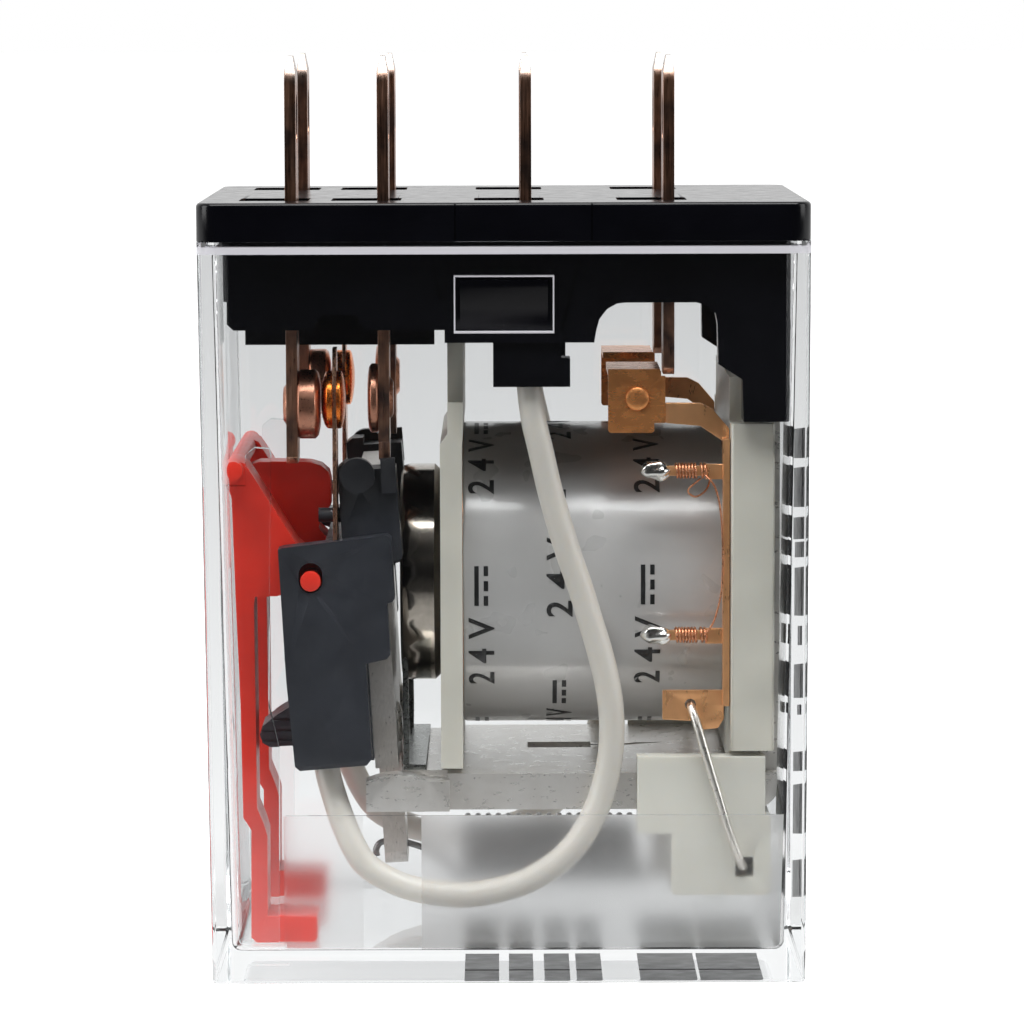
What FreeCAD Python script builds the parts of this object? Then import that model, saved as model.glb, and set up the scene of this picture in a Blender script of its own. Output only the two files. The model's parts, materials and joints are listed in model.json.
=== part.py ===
import FreeCAD, Part
import math
import os

# Two pole plug-in relay with a clear cover, lying pins up.
# Origin at the centre of the base flange's seating face, Z = 0 on that face.
# The blades stand up (+Z) and the body hangs down (-Z). X runs along each column of blades,
# from left (-X) to right (+X). Y runs across the two poles: front is -Y, rear is +Y.
# Millimetres. Paired details are drawn on the front side and mirrored to the rear.

os.makedirs("parts", exist_ok=True)

Vector = FreeCAD.Vector

# ---------------------------------------------------------------- shared dimensions
# Terminal blades, one column of four on each side
COLUMN_Y = 6.60                          # half the spacing of the two columns
SIDES = (("front", -COLUMN_Y), ("rear", COLUMN_Y))
ROW_X = {"nc": -9.46, "no": -5.36, "com": 0.99, "coil": 7.34}
INNER_END_Z = {"nc": -11.72, "no": -11.58, "com": -6.90, "coil": -7.77}
BLADE_THICK, BLADE_WIDTH, BLADE_TOP = 0.50, 2.60, 6.40
INNER_WIDTH = 2.40                       # width of the blades inside the case
WELL_DEPTH = 1.10                        # wells around the blades in the seating face
SHOULDER_Z = -WELL_DEPTH - 0.6           # where the blades change width

# Contacts
NC_Z, NO_Z, MOVING_Z = -9.13, -8.86, -8.93
FIXED_R, FIXED_SHANK_R = 1.55, 0.7
MOVING_R, MOVING_SHANK_R = 1.30, 0.6
NC_FACE, NO_FACE = -8.22, -6.09          # faces of the fixed contacts
MOVING_LEFT, MOVING_RIGHT = -8.18, -7.10     # faces of the moving contacts at rest
SPRING_X0, SPRING_X1 = -7.66, -7.48      # moving spring at rest
SPRING_HALF_WIDTH, SPRING_LOW = 1.2, -17.2
PEG_Y, PEG_Z, PEG_R = 6.35, -14.15, 0.33     # carrier pegs through the moving springs

# Base and cover
FLANGE_X, FLANGE_Y, FLANGE_THICK = 13.54, 10.60, 1.70    # half sizes, thickness
FLANGE_CORNER_R = 0.9
SLAB_Z = -4.40                           # underside of the base slab
SKIRT_LEFT, SKIRT_RIGHT = -12.43, 12.78
SKIRT_INNER_Y, SKIRT_OUTER_Y = 8.15, 9.35
SKIRT_CHAMFER = 0.30
COVER_RIM, COVER_RIM_LOW = -1.72, -2.24
COVER_END, COVER_INNER_END = -34.88, -33.50

# Magnet
HINGE_X, HINGE_Z = -4.79, -25.90         # armature hinge line
REST_TILT = 3.30                         # degrees the armature leans back at rest
ARMATURE_FACE = HINGE_X                  # pole side of the armature when pulled in
ARMATURE_BACK = ARMATURE_FACE - 1.05
ARMATURE_TOP, ARMATURE_LOW = -12.20, -30.85
RIVET_PLACES = [(-3.2, -24.0), (3.2, -24.0)]     # y, z
RIVET_R = 0.6
COIL_Z = -17.45                          # coil axis
POLE_FACE, POLE_BACK, POLE_R = -4.75, -2.95, 5.00
CORE_R, STUB_R = 3.00, 2.20
TAPE_R, WINDING_R, TUBE_R = 6.93, 6.70, 3.60
LEFT_FLANGE_X0, LEFT_FLANGE_X1 = -2.87, -1.89    # bobbin flanges
RIGHT_FLANGE_X0, RIGHT_FLANGE_X1 = 10.08, 10.75
YOKE_LEFT = -4.66
YOKE_X0, YOKE_X1 = RIGHT_FLANGE_X1, 12.35        # upright leg of the yoke
YOKE_TOP, YOKE_LOW = -25.75, -27.40      # lower arm of the yoke
SPRING_TURN_R, SPRING_WIRE, SPRING_Z = 1.45, 0.30, -30.40    # return spring

# Indicator lever
PIVOT_X, PIVOT_Z, PIVOT_R = -12.10, -12.02, 0.43
PIN_X, PIN_Z, PIN_R = -8.65, -16.90, 0.45        # drive pin at rest
LEVER_INNER_Y, LEVER_OUTER_Y = 4.20, 7.10

# Coil strip posts, lamp, leads
POST_Y = -8.00
POST_HEIGHTS = (-12.04, -19.42)
POST_NARROW, POST_WIDE = (0.22, 0.22), (0.38, 0.30)      # extent below and above the post axis
LUG_RIVET_X, LUG_RIVET_Z = 5.94, -8.85
LAMP_X, LAMP_Y, LAMP_R = 9.65, -1.6, 0.98
RESISTOR_Z = -30.15
LEAD_X, LEAD_Z, LEAD_R = 8.30, -22.55, 0.20      # start of the lamp and resistor leads
SLEEVE_X, SLEEVE_Y, SLEEVE_R = 1.13, -8.15, 0.575    # start of the lead sleeves


# ---------------------------------------------------------------- helpers
def box(x0, x1, y0, y1, z0, z1):
    return Part.makeBox(x1 - x0, y1 - y0, z1 - z0, Vector(x0, y0, z0))


def face(points):
    return Part.Face(Part.makePolygon(points + [points[0]]))


def prism_xz(outline, y0, y1):
    return face([Vector(x, y0, z) for x, z in outline]).extrude(Vector(0, y1 - y0, 0))


def prism_xy(outline, z0, z1):
    return face([Vector(x, y, z0) for x, y in outline]).extrude(Vector(0, 0, z1 - z0))


def prism_yz(outline, x0, x1):
    return face([Vector(x0, y, z) for y, z in outline]).extrude(Vector(x1 - x0, 0, 0))


def rod(start, end, radius):
    start, end = Vector(*start), Vector(*end)
    return Part.makeCylinder(radius, (end - start).Length, start, end - start)


def rod_x(x0, x1, y, z, radius):
    return rod((x0, y, z), (x1, y, z), radius)


def rod_y(x, y0, y1, z, radius):
    return rod((x, y0, z), (x, y1, z), radius)


def revolve_x(profile, y, z):
    """Turn (x, radius) points about the X-parallel axis through (y, z)."""
    section = face([Vector(x, y, z + radius) for x, radius in profile])
    return section.revolve(Vector(0, y, z), Vector(1, 0, 0), 360)


def revolve_y(profile, x, z):
    """Turn (y, radius) points about the Y-parallel axis through (x, z)."""
    section = face([Vector(x, y, z + radius) for y, radius in profile])
    return section.revolve(Vector(x, 0, z), Vector(0, 1, 0), 360)


def mirror(shape):
    return shape.mirror(Vector(0, 0, 0), Vector(0, 1, 0))


def both(*shapes):
    """The front shapes followed by their rear mirror images."""
    return list(shapes) + [mirror(shape) for shape in shapes]


def fuse(shapes):
    return shapes[0].multiFuse(shapes[1:]).removeSplitter()


def cut_all(shape, cutters):
    for cutter in cutters:
        shape = shape.cut(cutter)
    return shape


def runs_along(edge, axis):
    line = edge.Curve
    return isinstance(line, Part.Line) and abs(abs(getattr(line.Direction, axis)) - 1) < 1e-6


def upright(edge):
    return runs_along(edge, "z")


def at_level(z):
    """Test for edges that lie wholly at height z."""
    return lambda edge: (abs(edge.BoundBox.ZMin - z) < 1e-6
                         and abs(edge.BoundBox.ZMax - z) < 1e-6)


def round_edges(shape, test, radius):
    """Fillet the edges that pass the test."""
    chosen = [edge for edge in shape.Edges if test(edge)]
    if not chosen:
        return shape
    # A fillet the kernel can't build leaves the sharp shape in place.
    try:
        rounded = shape.makeFillet(radius, chosen)
        if rounded.isValid() and rounded.Volume > 0:
            return rounded
    except Exception:
        pass
    return shape


def tube(stations, radius):
    """Round bar along the stations, one short ruled length between each two."""
    points = [Vector(*station) for station in stations]
    last = len(points) - 1
    side = Vector(0, 1, 0)
    rings = []
    for i, point in enumerate(points):
        along = (points[min(i + 1, last)] - points[max(i - 1, 0)]).normalize()
        if i == 0 and abs(along.y) >= 0.9:
            side = Vector(1, 0, 0)
        side = (side - along * side.dot(along)).normalize()
        across = along.cross(side)
        a, b = point + side * radius, point + across * radius
        c, d = point - side * radius, point - across * radius
        rings.append(Part.Wire([Part.Edge(Part.Arc(a, b, c)), Part.Edge(Part.Arc(c, d, a))]))
    return Part.makeLoft(rings, True, True)


def bent_wire(stations, radius):
    """Round wire along the stations, mitred at each one."""
    points = [Vector(*station) for station in stations]
    ring = Part.Wire(Part.makeCircle(radius, points[0], (points[1] - points[0]).normalize()))
    return Part.makePolygon(points).makePipeShell([ring], True, False, 1)


def rounded_rect(x0, x1, y0, y1, z, radius):
    def corner(x, y, start_angle):
        angles = [math.radians(start_angle + turn) for turn in (0, 45, 90)]
        points = [Vector(x + radius * math.cos(a), y + radius * math.sin(a), z) for a in angles]
        return Part.Arc(*points).toShape()

    corners = [corner(x1 - radius, y1 - radius, 0), corner(x0 + radius, y1 - radius, 90),
               corner(x0 + radius, y0 + radius, 180), corner(x1 - radius, y0 + radius, 270)]
    outline = []
    for i, arc in enumerate(corners):
        following = corners[(i + 1) % 4]
        outline.append(arc)
        outline.append(Part.makeLine(arc.Vertexes[-1].Point, following.Vertexes[0].Point))
    return Part.Wire(Part.__sortEdges__(outline))


def tilt(shape):
    """Lean a shape drawn pulled in back to its rest position."""
    shape = shape.copy()
    shape.rotate(Vector(HINGE_X, 0, HINGE_Z), Vector(0, 1, 0), -REST_TILT)
    return shape


def save(name, *shapes):
    solids = [solid for shape in shapes for solid in shape.Solids]
    piece = solids[0] if len(solids) == 1 else Part.makeCompound(solids)
    piece.exportStep("parts/%s.step" % name)


# ---------------------------------------------------------------- terminals and fixed contacts
def blade(row, y, inner_end):
    x0, x1 = row - BLADE_THICK / 2, row + BLADE_THICK / 2
    wide, narrow = BLADE_WIDTH / 2, INNER_WIDTH / 2
    shape = prism_yz([
        (y - narrow, inner_end + 0.3), (y - narrow + 0.3, inner_end),
        (y + narrow - 0.3, inner_end), (y + narrow, inner_end + 0.3),
        (y + narrow, SHOULDER_Z), (y + wide, SHOULDER_Z),
        (y + wide, BLADE_TOP - 1.15), (y + wide - 0.55, BLADE_TOP),
        (y - wide + 0.55, BLADE_TOP), (y - wide, BLADE_TOP - 1.15),
        (y - wide, SHOULDER_Z), (y - narrow, SHOULDER_Z)], x0, x1)
    # pointed tip, so the blade enters its socket
    for way in (-1, 1):
        side_x, tip_x = row + way * BLADE_THICK / 2, row + way * 0.1
        shape = shape.cut(prism_xz([
            (side_x, BLADE_TOP - 0.75), (side_x + way, BLADE_TOP - 0.75),
            (side_x + way, BLADE_TOP + 0.1), (tip_x, BLADE_TOP + 0.1),
            (tip_x, BLADE_TOP)], y - 3, y + 3))
    # oval wire hole
    hole_low, hole_high, hole_r = 3.1, 4.1, 0.6
    hole = box(x0 - 1, x1 + 1, y - hole_r, y + hole_r, hole_low, hole_high)
    for z in (hole_low, hole_high):
        hole = hole.fuse(rod_x(x0 - 1, x1 + 1, y, z, hole_r))
    return shape.cut(hole)


def terminal(kind, y):
    shape = blade(ROW_X[kind], y, INNER_END_Z[kind])
    if kind == "nc":
        shape = shape.cut(rod_x(-11, -8, y, NC_Z, FIXED_SHANK_R))
    if kind == "no":
        shape = shape.cut(rod_x(-7, -4, y, NO_Z, FIXED_SHANK_R))
        # narrow end, clear of the carrier's knob when the armature is pulled in
        end_half_width, end_z = 0.62, -10.75
        for y0, y1 in ((y - 2, y - end_half_width), (y + end_half_width, y + 2)):
            shape = shape.cut(box(-7, -4, y0, y1, -12, end_z))
    return shape


def fixed_contact(row, way, face_x, rim_depth, edge_depth, y, z):
    """Contact riveted through a blade; way is +1 if it faces right, -1 if left."""
    near, far = row + way * BLADE_THICK / 2, row - way * BLADE_THICK / 2
    return revolve_x([
        (far - way * 0.16, 0.0), (far - way * 0.16, 0.75), (far, 0.95),
        (far, FIXED_SHANK_R), (near, FIXED_SHANK_R),
        (near, FIXED_R - 0.08), (near + way * 0.08, FIXED_R),
        (face_x - way * rim_depth, FIXED_R), (face_x - way * edge_depth, FIXED_R - 0.16),
        (face_x, FIXED_R - 0.55), (face_x, 0.0)], y, z)


# ---------------------------------------------------------------- base
def blade_slot(row, y):
    gap = 0.02
    x0, x1 = row - BLADE_THICK / 2 - gap, row + BLADE_THICK / 2 + gap
    wide, narrow = BLADE_WIDTH / 2 + gap, INNER_WIDTH / 2 + gap
    upper = box(x0, x1, y - wide, y + wide, SHOULDER_Z - gap, 1)
    return upper.fuse(box(x0, x1, y - narrow, y + narrow, -12, 0))


# (x, z) outline of the skirt's side wall
SKIRT_OUTLINE = [
    (SKIRT_LEFT, -FLANGE_THICK), (SKIRT_LEFT, -3.21), (-12.24, -3.43), (-12.24, -5.38),
    (-11.94, -5.65), (-8.51, -5.65), (-8.06, -4.98), (-6.52, -4.98), (-6.16, -5.65),
    (-2.62, -5.65), (-2.62, -6.22), (3.99, -6.22), (4.08, -5.69), (4.22, -5.18), (4.56, -4.74),
    (5.00, -4.50), (5.36, -4.46), (8.50, -4.46), (9.00, -4.60), (9.35, -4.95), (9.44, -5.44),
    (9.47, -7.19), (10.54, -7.88), (10.59, -9.66), (10.72, -9.76), (12.68, -9.76),
    (SKIRT_RIGHT, -9.66), (SKIRT_RIGHT, -FLANGE_THICK)]


def make_base():
    root_z = SLAB_Z + 0.01       # hanging details overlap the slab a little
    flange = box(-FLANGE_X, FLANGE_X, -FLANGE_Y, FLANGE_Y, -FLANGE_THICK, 0)
    flange = round_edges(flange, upright, FLANGE_CORNER_R)
    flange = round_edges(flange, at_level(0), 0.18)
    slab = box(SKIRT_LEFT, SKIRT_RIGHT, -SKIRT_OUTER_Y, SKIRT_OUTER_Y,
               SLAB_Z, -FLANGE_THICK + 0.01)
    middle_rib = box(-11.9, -3.2, -0.45, 0.45, -6.9, root_z)
    skirt = prism_xz(SKIRT_OUTLINE, -SKIRT_OUTER_Y, -SKIRT_INNER_Y)
    post = box(10.60, SKIRT_RIGHT, -SKIRT_OUTER_Y, -7.20, -9.76, root_z)
    snap_wedge = prism_yz([(-9.30, -3.45), (-9.98, -3.45), (-9.98, -3.80), (-9.62, -4.70),
                           (-9.30, -5.45)], -1.93, 1.95)
    # block that takes the upper end of the lead sleeve
    socket = box(-0.48, 2.93, -9.10, -7.00, -8.20, -6.10)
    socket = socket.cut(box(2.53, 3.2, -9.3, -6.9, -6.97, -6.0))
    socket = socket.cut(rod((SLEEVE_X, SLEEVE_Y, -8.3), (SLEEVE_X, SLEEVE_Y, -7.0), 0.62))
    foot = box(-11.9, -11.1, -8.2, -7.4, -5.2, root_z)
    base = fuse([flange, slab, middle_rib] + both(skirt, post, snap_wedge, socket, foot))
    for _, y in SIDES:
        for row in ROW_X.values():
            well = box(row - 2.30, row + 0.80, y - 1.55, y + 1.55, -WELL_DEPTH, 0.5)
            well = round_edges(well, upright, 0.2)
            base = base.cut(well).cut(blade_slot(row, y))
    # slot for the yoke's tab
    base = base.cut(box(YOKE_X0 - 0.03, YOKE_X1 + 0.03, -3.03, 3.03, SLAB_Z - 1, -2.55))
    # slanted grooves beside the snap wedge, then fine lines on the flange edge
    grooves = [prism_xz(outline, -SKIRT_OUTER_Y - 0.5, -SKIRT_OUTER_Y + 0.25) for outline in (
        [(-3.31, -2.1), (-3.19, -2.1), (-2.74, -4.35), (-2.86, -4.35)],
        [(3.44, -2.1), (3.56, -2.1), (2.58, -5.75), (2.46, -5.75)])]
    lines = [box(x - 0.04, x + 0.04, -FLANGE_Y - 0.1, -FLANGE_Y + 0.05,
                 -FLANGE_THICK - 0.1, 0.1) for x in (-2.13, 3.88)]
    base = cut_all(base, both(*grooves, *lines))
    # skirt corners cut back to clear the rounded inner corners of the cover
    for way_x, x in ((-1, SKIRT_LEFT), (1, SKIRT_RIGHT)):
        for way_y in (-1, 1):
            outside_x = x + way_x * 0.1
            outside_y = way_y * (SKIRT_OUTER_Y + 0.1)
            base = base.cut(prism_xy([
                (x - way_x * (SKIRT_CHAMFER + 0.1), outside_y),
                (outside_x, way_y * (SKIRT_OUTER_Y - SKIRT_CHAMFER - 0.1)),
                (outside_x, outside_y)], -12, -FLANGE_THICK))
    return base.removeSplitter()


# ---------------------------------------------------------------- cover
# (x, z) outline of the rib inside each side wall, at the left end
COVER_RIB_OUTLINE = [
    (-13.0, -12.69), (-11.54, -12.69), (-11.54, -11.31), (-11.13, -10.98), (-10.48, -11.03),
    (-10.41, -11.32), (-10.5, -16.16), (-10.59, -22.53), (-10.14, -24.49), (-10.19, -33.7),
    (-12.7, -33.7)]


def make_cover():
    outer = Part.makeLoft([rounded_rect(-13.11, 13.40, -10.20, 10.20, COVER_END, 0.22),
                           rounded_rect(-13.50, 13.52, -10.48, 10.48, COVER_RIM, 0.22)],
                          True, True)
    inner = Part.makeLoft([rounded_rect(-12.27, 12.47, -9.26, 9.26, COVER_INNER_END, 0.50),
                           rounded_rect(-12.90, 12.99, -9.56, 9.56, COVER_RIM + 0.5, 0.50)],
                          True, True)
    outer = round_edges(outer, at_level(COVER_END), 0.20)
    inner = round_edges(inner, at_level(COVER_INNER_END), 0.42)
    rim = Part.Face(rounded_rect(-FLANGE_X, FLANGE_X, -FLANGE_Y, FLANGE_Y,
                                 COVER_RIM_LOW, FLANGE_CORNER_R))
    rim = rim.extrude(Vector(0, 0, COVER_RIM - COVER_RIM_LOW))
    cover = outer.fuse(rim).cut(inner)
    rib = prism_xz(COVER_RIB_OUTLINE, -8.00, -7.30)
    pad = box(-9.79, 12.60, -9.60, -9.16, -33.6, -27.35)
    cover = fuse([cover] + [shape.common(outer) for shape in both(rib) + both(pad)])
    snap_window = box(-2.14, 2.16, -11, -9.0, -5.70, -3.27)
    return cut_all(cover, both(snap_window)).removeSplitter()


# ---------------------------------------------------------------- magnet
def make_yoke():
    ear_z = -26.02
    lower_arm = [box(YOKE_LEFT, -1.9, -6.45, 6.45, YOKE_LOW, YOKE_TOP),
                 box(-2.6, YOKE_X1, -7.40, 7.40, YOKE_LOW, YOKE_TOP)]
    leg = box(YOKE_X0, YOKE_X1, -6.90, 6.90, YOKE_LOW, -9.85)
    base_tab = box(YOKE_X0, YOKE_X1, -3.00, 3.00, -10.5, -2.60)
    ear = prism_xz([(-6.24, YOKE_LOW), (-6.24, ear_z), (-5.6, -25.82), (-4.9, -25.72),
                    (-4.2, -25.80), (-3.52, ear_z), (-3.3, ear_z), (-2.5, ear_z),
                    (-2.5, YOKE_LOW)], -7.95, -6.70)
    neck = box(-4.6, -2.5, -6.75, -6.40, YOKE_LOW, ear_z)
    spring_anchor = box(6.75, 7.25, -1.3, 1.3, -31.6, YOKE_LOW + 0.01)
    left_tab = box(-4.60, -3.75, -1.15, 1.15, -28.55, YOKE_LOW + 0.01)
    yoke = fuse(lower_arm + [leg, base_tab] + both(ear) + both(neck)
                + [spring_anchor, left_tab])
    # outside of the bend between arm and leg
    yoke = round_edges(yoke, lambda edge: (edge.BoundBox.XMin > YOKE_X1 - 1e-3
                                           and edge.BoundBox.ZMax < YOKE_LOW + 1e-3
                                           and edge.BoundBox.YLength > 10), 1.2)
    yoke = yoke.cut(rod_x(9, 14, 0, COIL_Z, STUB_R))
    yoke = yoke.cut(rod_x(6, 8, 0, SPRING_Z - 0.75, 0.30))
    # stamped marks in the top face of the arm
    yoke = yoke.cut(box(1.05, 4.00, 0.2, 1.9, YOKE_TOP - 0.45, YOKE_TOP + 1))
    return yoke.cut(prism_xy([(4.0, 0.85), (5.6, 0.85), (7.4, 1.7), (6.2, 1.7), (5.2, 1.15),
                              (4.0, 1.15)], YOKE_TOP - 0.2, YOKE_TOP + 1))


def make_core():
    stub_end = YOKE_X1 - 0.02
    return revolve_x([
        (POLE_FACE, 0.0), (POLE_FACE, POLE_R - 0.35), (POLE_FACE + 0.12, POLE_R - 0.10),
        (POLE_FACE + 0.40, POLE_R), (POLE_BACK - 0.25, POLE_R), (POLE_BACK, POLE_R - 0.25),
        (POLE_BACK, CORE_R), (YOKE_X0, CORE_R), (YOKE_X0, STUB_R), (stub_end, STUB_R),
        (stub_end, 0.0)], 0, COIL_Z)


def make_bobbin():
    flange_low = -25.47
    left = prism_xz([
        (LEFT_FLANGE_X0, flange_low), (LEFT_FLANGE_X1, flange_low), (LEFT_FLANGE_X1, -10.9),
        (-1.84, -10.4), (-1.84, -6.30), (-2.53, -6.30), (-2.53, -10.4),
        (LEFT_FLANGE_X0, -10.9)], -7.80, 7.80)
    left = cut_all(left, [box(-4, 0, -7.9, -7.2, -9, -6), box(-4, 0, 7.2, 7.9, -9, -6)])
    barrel = rod_x(LEFT_FLANGE_X1 - 0.02, RIGHT_FLANGE_X0 + 0.02, 0, COIL_Z, TUBE_R)
    right = box(RIGHT_FLANGE_X0, RIGHT_FLANGE_X1, -7.30, 7.30, flange_low, -9.90)
    right = right.fuse(box(RIGHT_FLANGE_X0, RIGHT_FLANGE_X1 - 0.05, -6.9, 6.9, -10, -7.95))
    rail = box(RIGHT_FLANGE_X0, 12.04, -8.50, -7.00, -24.60, -9.92)
    rail = round_edges(rail, upright, 0.15)
    bobbin = fuse([left, barrel, right] + both(rail))
    return bobbin.cut(rod_x(-4, YOKE_X0, 0, COIL_Z, CORE_R))


def make_winding():
    left, right = LEFT_FLANGE_X1, 9.98
    return revolve_x([(left, TUBE_R), (left, WINDING_R), (right, WINDING_R), (right, TUBE_R)],
                     0, COIL_Z)


def make_tape():
    left, right = LEFT_FLANGE_X1 + 0.03, 9.92
    return revolve_x([(left, WINDING_R), (left, TAPE_R - 0.05), (LEFT_FLANGE_X1 + 0.15, TAPE_R),
                      (9.78, TAPE_R), (right, TAPE_R - 0.08), (right, WINDING_R)], 0, COIL_Z)


# ---------------------------------------------------------------- armature group
def make_armature():
    armature = fuse([
        box(ARMATURE_BACK, ARMATURE_FACE, -5.0, 5.0, -18.0, ARMATURE_TOP),
        box(ARMATURE_BACK, ARMATURE_FACE, -6.5, 6.5, -25.60, -17.9),
        box(ARMATURE_BACK, ARMATURE_FACE, -1.6, 1.6, ARMATURE_LOW, -25.5)])
    armature = round_edges(armature, lambda edge: runs_along(edge, "x") and (
        edge.BoundBox.ZMin > ARMATURE_TOP - 0.1
        or edge.BoundBox.ZMax < ARMATURE_LOW + 0.15), 0.6)
    for y, z in RIVET_PLACES:
        armature = armature.cut(rod_x(-9, -3, y, z, RIVET_R))
    # hole for the return spring's loop
    return tilt(armature.cut(rod_x(-7, -4, 0, -30.05, 0.34)))


def armature_rivet(y, z):
    head = ARMATURE_FACE + 0.20
    return tilt(revolve_x([
        (-7.68, 0.0), (-7.68, 0.7), (-7.55, 0.95), (-7.40, 1.0), (-7.40, RIVET_R),
        (ARMATURE_FACE, RIVET_R), (ARMATURE_FACE, 0.95), (ARMATURE_FACE + 0.10, 0.90),
        (head, 0.6), (head, 0.0)], y, z))


# (x, z) outlines of the contact carrier, drawn pulled in
CARRIER_PLATE_OUTLINE = [
    (-9.49, -15.20), (-9.30, -15.14), (-4.60, -14.85), (-4.43, -15.00), (-4.43, -17.70),
    (-4.55, -17.85), (-4.78, -17.90), (-4.78, -20.20), (-4.95, -20.40), (-5.90, -20.55),
    (-5.90, -24.85), (-6.15, -25.13), (-9.15, -25.20), (-9.36, -25.00), (-9.50, -21.10)]
CARRIER_BLOCK_OUTLINE = [
    (-6.65, -16.10), (-6.65, -11.84), (-6.35, -11.62), (-5.85, -11.62), (-5.85, -11.95),
    (-4.06, -11.95), (-4.00, -16.00), (-4.15, -16.15)]
# (x, z) outline of the tongue on its left side, drawn at rest
TONGUE_OUTLINE = [
    (-7.3, -22.9), (-9.9, -23.55), (-10.51, -23.93), (-11.2, -24.44), (-11.32, -24.82),
    (-11.2, -25.22), (-10.84, -25.42), (-7.3, -25.30)]


def make_carrier():
    plate = prism_xz(CARRIER_PLATE_OUTLINE, -8.50, -7.20)
    web = box(-7.40, ARMATURE_BACK, -7.25, 7.25, -25.10, -15.00)
    block = prism_xz(CARRIER_BLOCK_OUTLINE, -7.40, -5.30)
    block = block.fuse(prism_xz([(-4.70, -13.0), (-4.70, -11.45), (-4.06, -11.45),
                                 (-4.03, -13.0)], -8.10, -7.70))
    block = block.fuse(prism_xz([(-4.70, -13.0), (-4.70, -12.2), (-4.05, -12.2),
                                 (-4.03, -13.0)], -8.10, -7.35))
    carrier = tilt(fuse([web] + both(plate) + both(block)))
    # from here on, drawn at rest
    boss = rod_y(-6.56, -7.95, -7.30, -12.25, 0.78)
    peg = rod_x(-8.35, -6.9, -PEG_Y, PEG_Z, PEG_R)
    tongue = prism_xz(TONGUE_OUTLINE, -1.45, 1.45)
    for z in (-24.15, -24.65, -25.1):
        for y0, y1 in ((-1.6, -1.3), (1.3, 1.6)):
            tongue = tongue.cut(box(-12, -8.9, y0, y1, z - 0.06, z + 0.06))
    carrier = fuse([carrier, tongue] + both(boss) + both(peg))
    # seats of the moving springs; the pegs are put back across them
    seat_gap = 0.03
    seat_half_width = SPRING_HALF_WIDTH + seat_gap
    for _, y in SIDES:
        carrier = carrier.cut(box(SPRING_X0 - seat_gap, SPRING_X1 + seat_gap,
                                  y - seat_half_width, y + seat_half_width,
                                  SPRING_LOW - seat_gap, -10.9))
    for y in (-PEG_Y, PEG_Y):
        carrier = carrier.fuse(rod_x(-8.30, -6.9, y, PEG_Z, PEG_R))
    for y, z in RIVET_PLACES:
        carrier = carrier.cut(tilt(rod_x(-9, -5.8, y, z, RIVET_R)))
    # slots that take the indicator's drive pin
    slot_r, slot_top = 0.53, PIN_Z + 0.28
    slot = rod_y(PIN_X, -9, -7, PIN_Z, slot_r).fuse(rod_y(PIN_X, -9, -7, slot_top, slot_r))
    slot = slot.fuse(box(PIN_X - slot_r, PIN_X + slot_r, -9, -7, PIN_Z, slot_top))
    return cut_all(carrier, both(slot)).removeSplitter()


def moving_spring(y):
    half = SPRING_HALF_WIDTH
    spring = prism_yz([
        (y - half, SPRING_LOW), (y + half, SPRING_LOW), (y + half, -10.6), (y + 0.95, -7.2),
        (y + 0.6, -6.6), (y - 0.6, -6.6), (y - 0.95, -7.2), (y - half, -10.6)],
        SPRING_X0, SPRING_X1)
    spring = spring.cut(rod_x(-8, -7, y, MOVING_Z, MOVING_SHANK_R))
    return spring.cut(rod_x(-8, -7, math.copysign(PEG_Y, y), PEG_Z, PEG_R + 0.03))


def moving_contact(y):
    return revolve_x([
        (MOVING_LEFT, 0.0), (MOVING_LEFT, 0.35), (MOVING_LEFT + 0.05, 0.80),
        (MOVING_LEFT + 0.16, 1.15), (MOVING_LEFT + 0.28, MOVING_R), (SPRING_X0, MOVING_R),
        (SPRING_X0, MOVING_SHANK_R), (SPRING_X1, MOVING_SHANK_R), (SPRING_X1, MOVING_R),
        (MOVING_RIGHT - 0.20, MOVING_R), (MOVING_RIGHT - 0.12, 1.15),
        (MOVING_RIGHT - 0.05, 0.80), (MOVING_RIGHT, 0.35), (MOVING_RIGHT, 0.0)], y, MOVING_Z)


def make_retainer():
    strip = box(-4.60, -3.55, -6.30, 6.30, YOKE_TOP, YOKE_TOP + 0.22)
    tab = prism_xz([(-4.60, YOKE_TOP), (-4.35, YOKE_TOP), (-4.33, -24.3), (-4.38, -20.85),
                    (-4.50, -20.70), (-4.62, -20.85), (-4.60, -24.3)], -6.30, -5.45)
    return fuse([strip] + both(tab))


# ---------------------------------------------------------------- indicator lever
# (x, z) outlines of the side arms, the horn in the middle and the web between the arms
LEVER_ARM_OUTLINE = [
    (-12.44, -12.05), (-12.32, -11.73), (-12.03, -11.62), (-11.58, -11.78), (-11.32, -12.17),
    (-9.36, -15.35), (-8.30, -16.35), (-8.10, -16.75), (-8.14, -17.20), (-8.60, -17.45),
    (-9.30, -17.50), (-10.23, -17.74), (-11.19, -17.74), (-11.24, -18.07), (-11.20, -22.62),
    (-11.18, -27.30), (-10.88, -28.05), (-10.72, -28.60), (-10.74, -32.25), (-8.52, -32.32),
    (-8.50, -33.30), (-8.62, -33.47), (-11.22, -33.47), (-11.48, -33.22), (-11.44, -28.32),
    (-11.80, -27.75), (-11.88, -22.62), (-12.05, -18.06), (-12.20, -13.29), (-12.42, -12.60)]
HORN_OUTLINE = [
    (-12.37, -12.69), (-11.29, -12.24), (-9.52, -12.26), (-8.92, -12.29), (-8.43, -12.44),
    (-8.09, -12.74), (-8.0, -13.1), (-8.0, -14.28), (-8.42, -14.67), (-8.57, -15.35),
    (-8.21, -15.74), (-8.21, -16.11), (-9.58, -16.29), (-10.34, -15.63), (-12.07, -13.5)]
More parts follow.
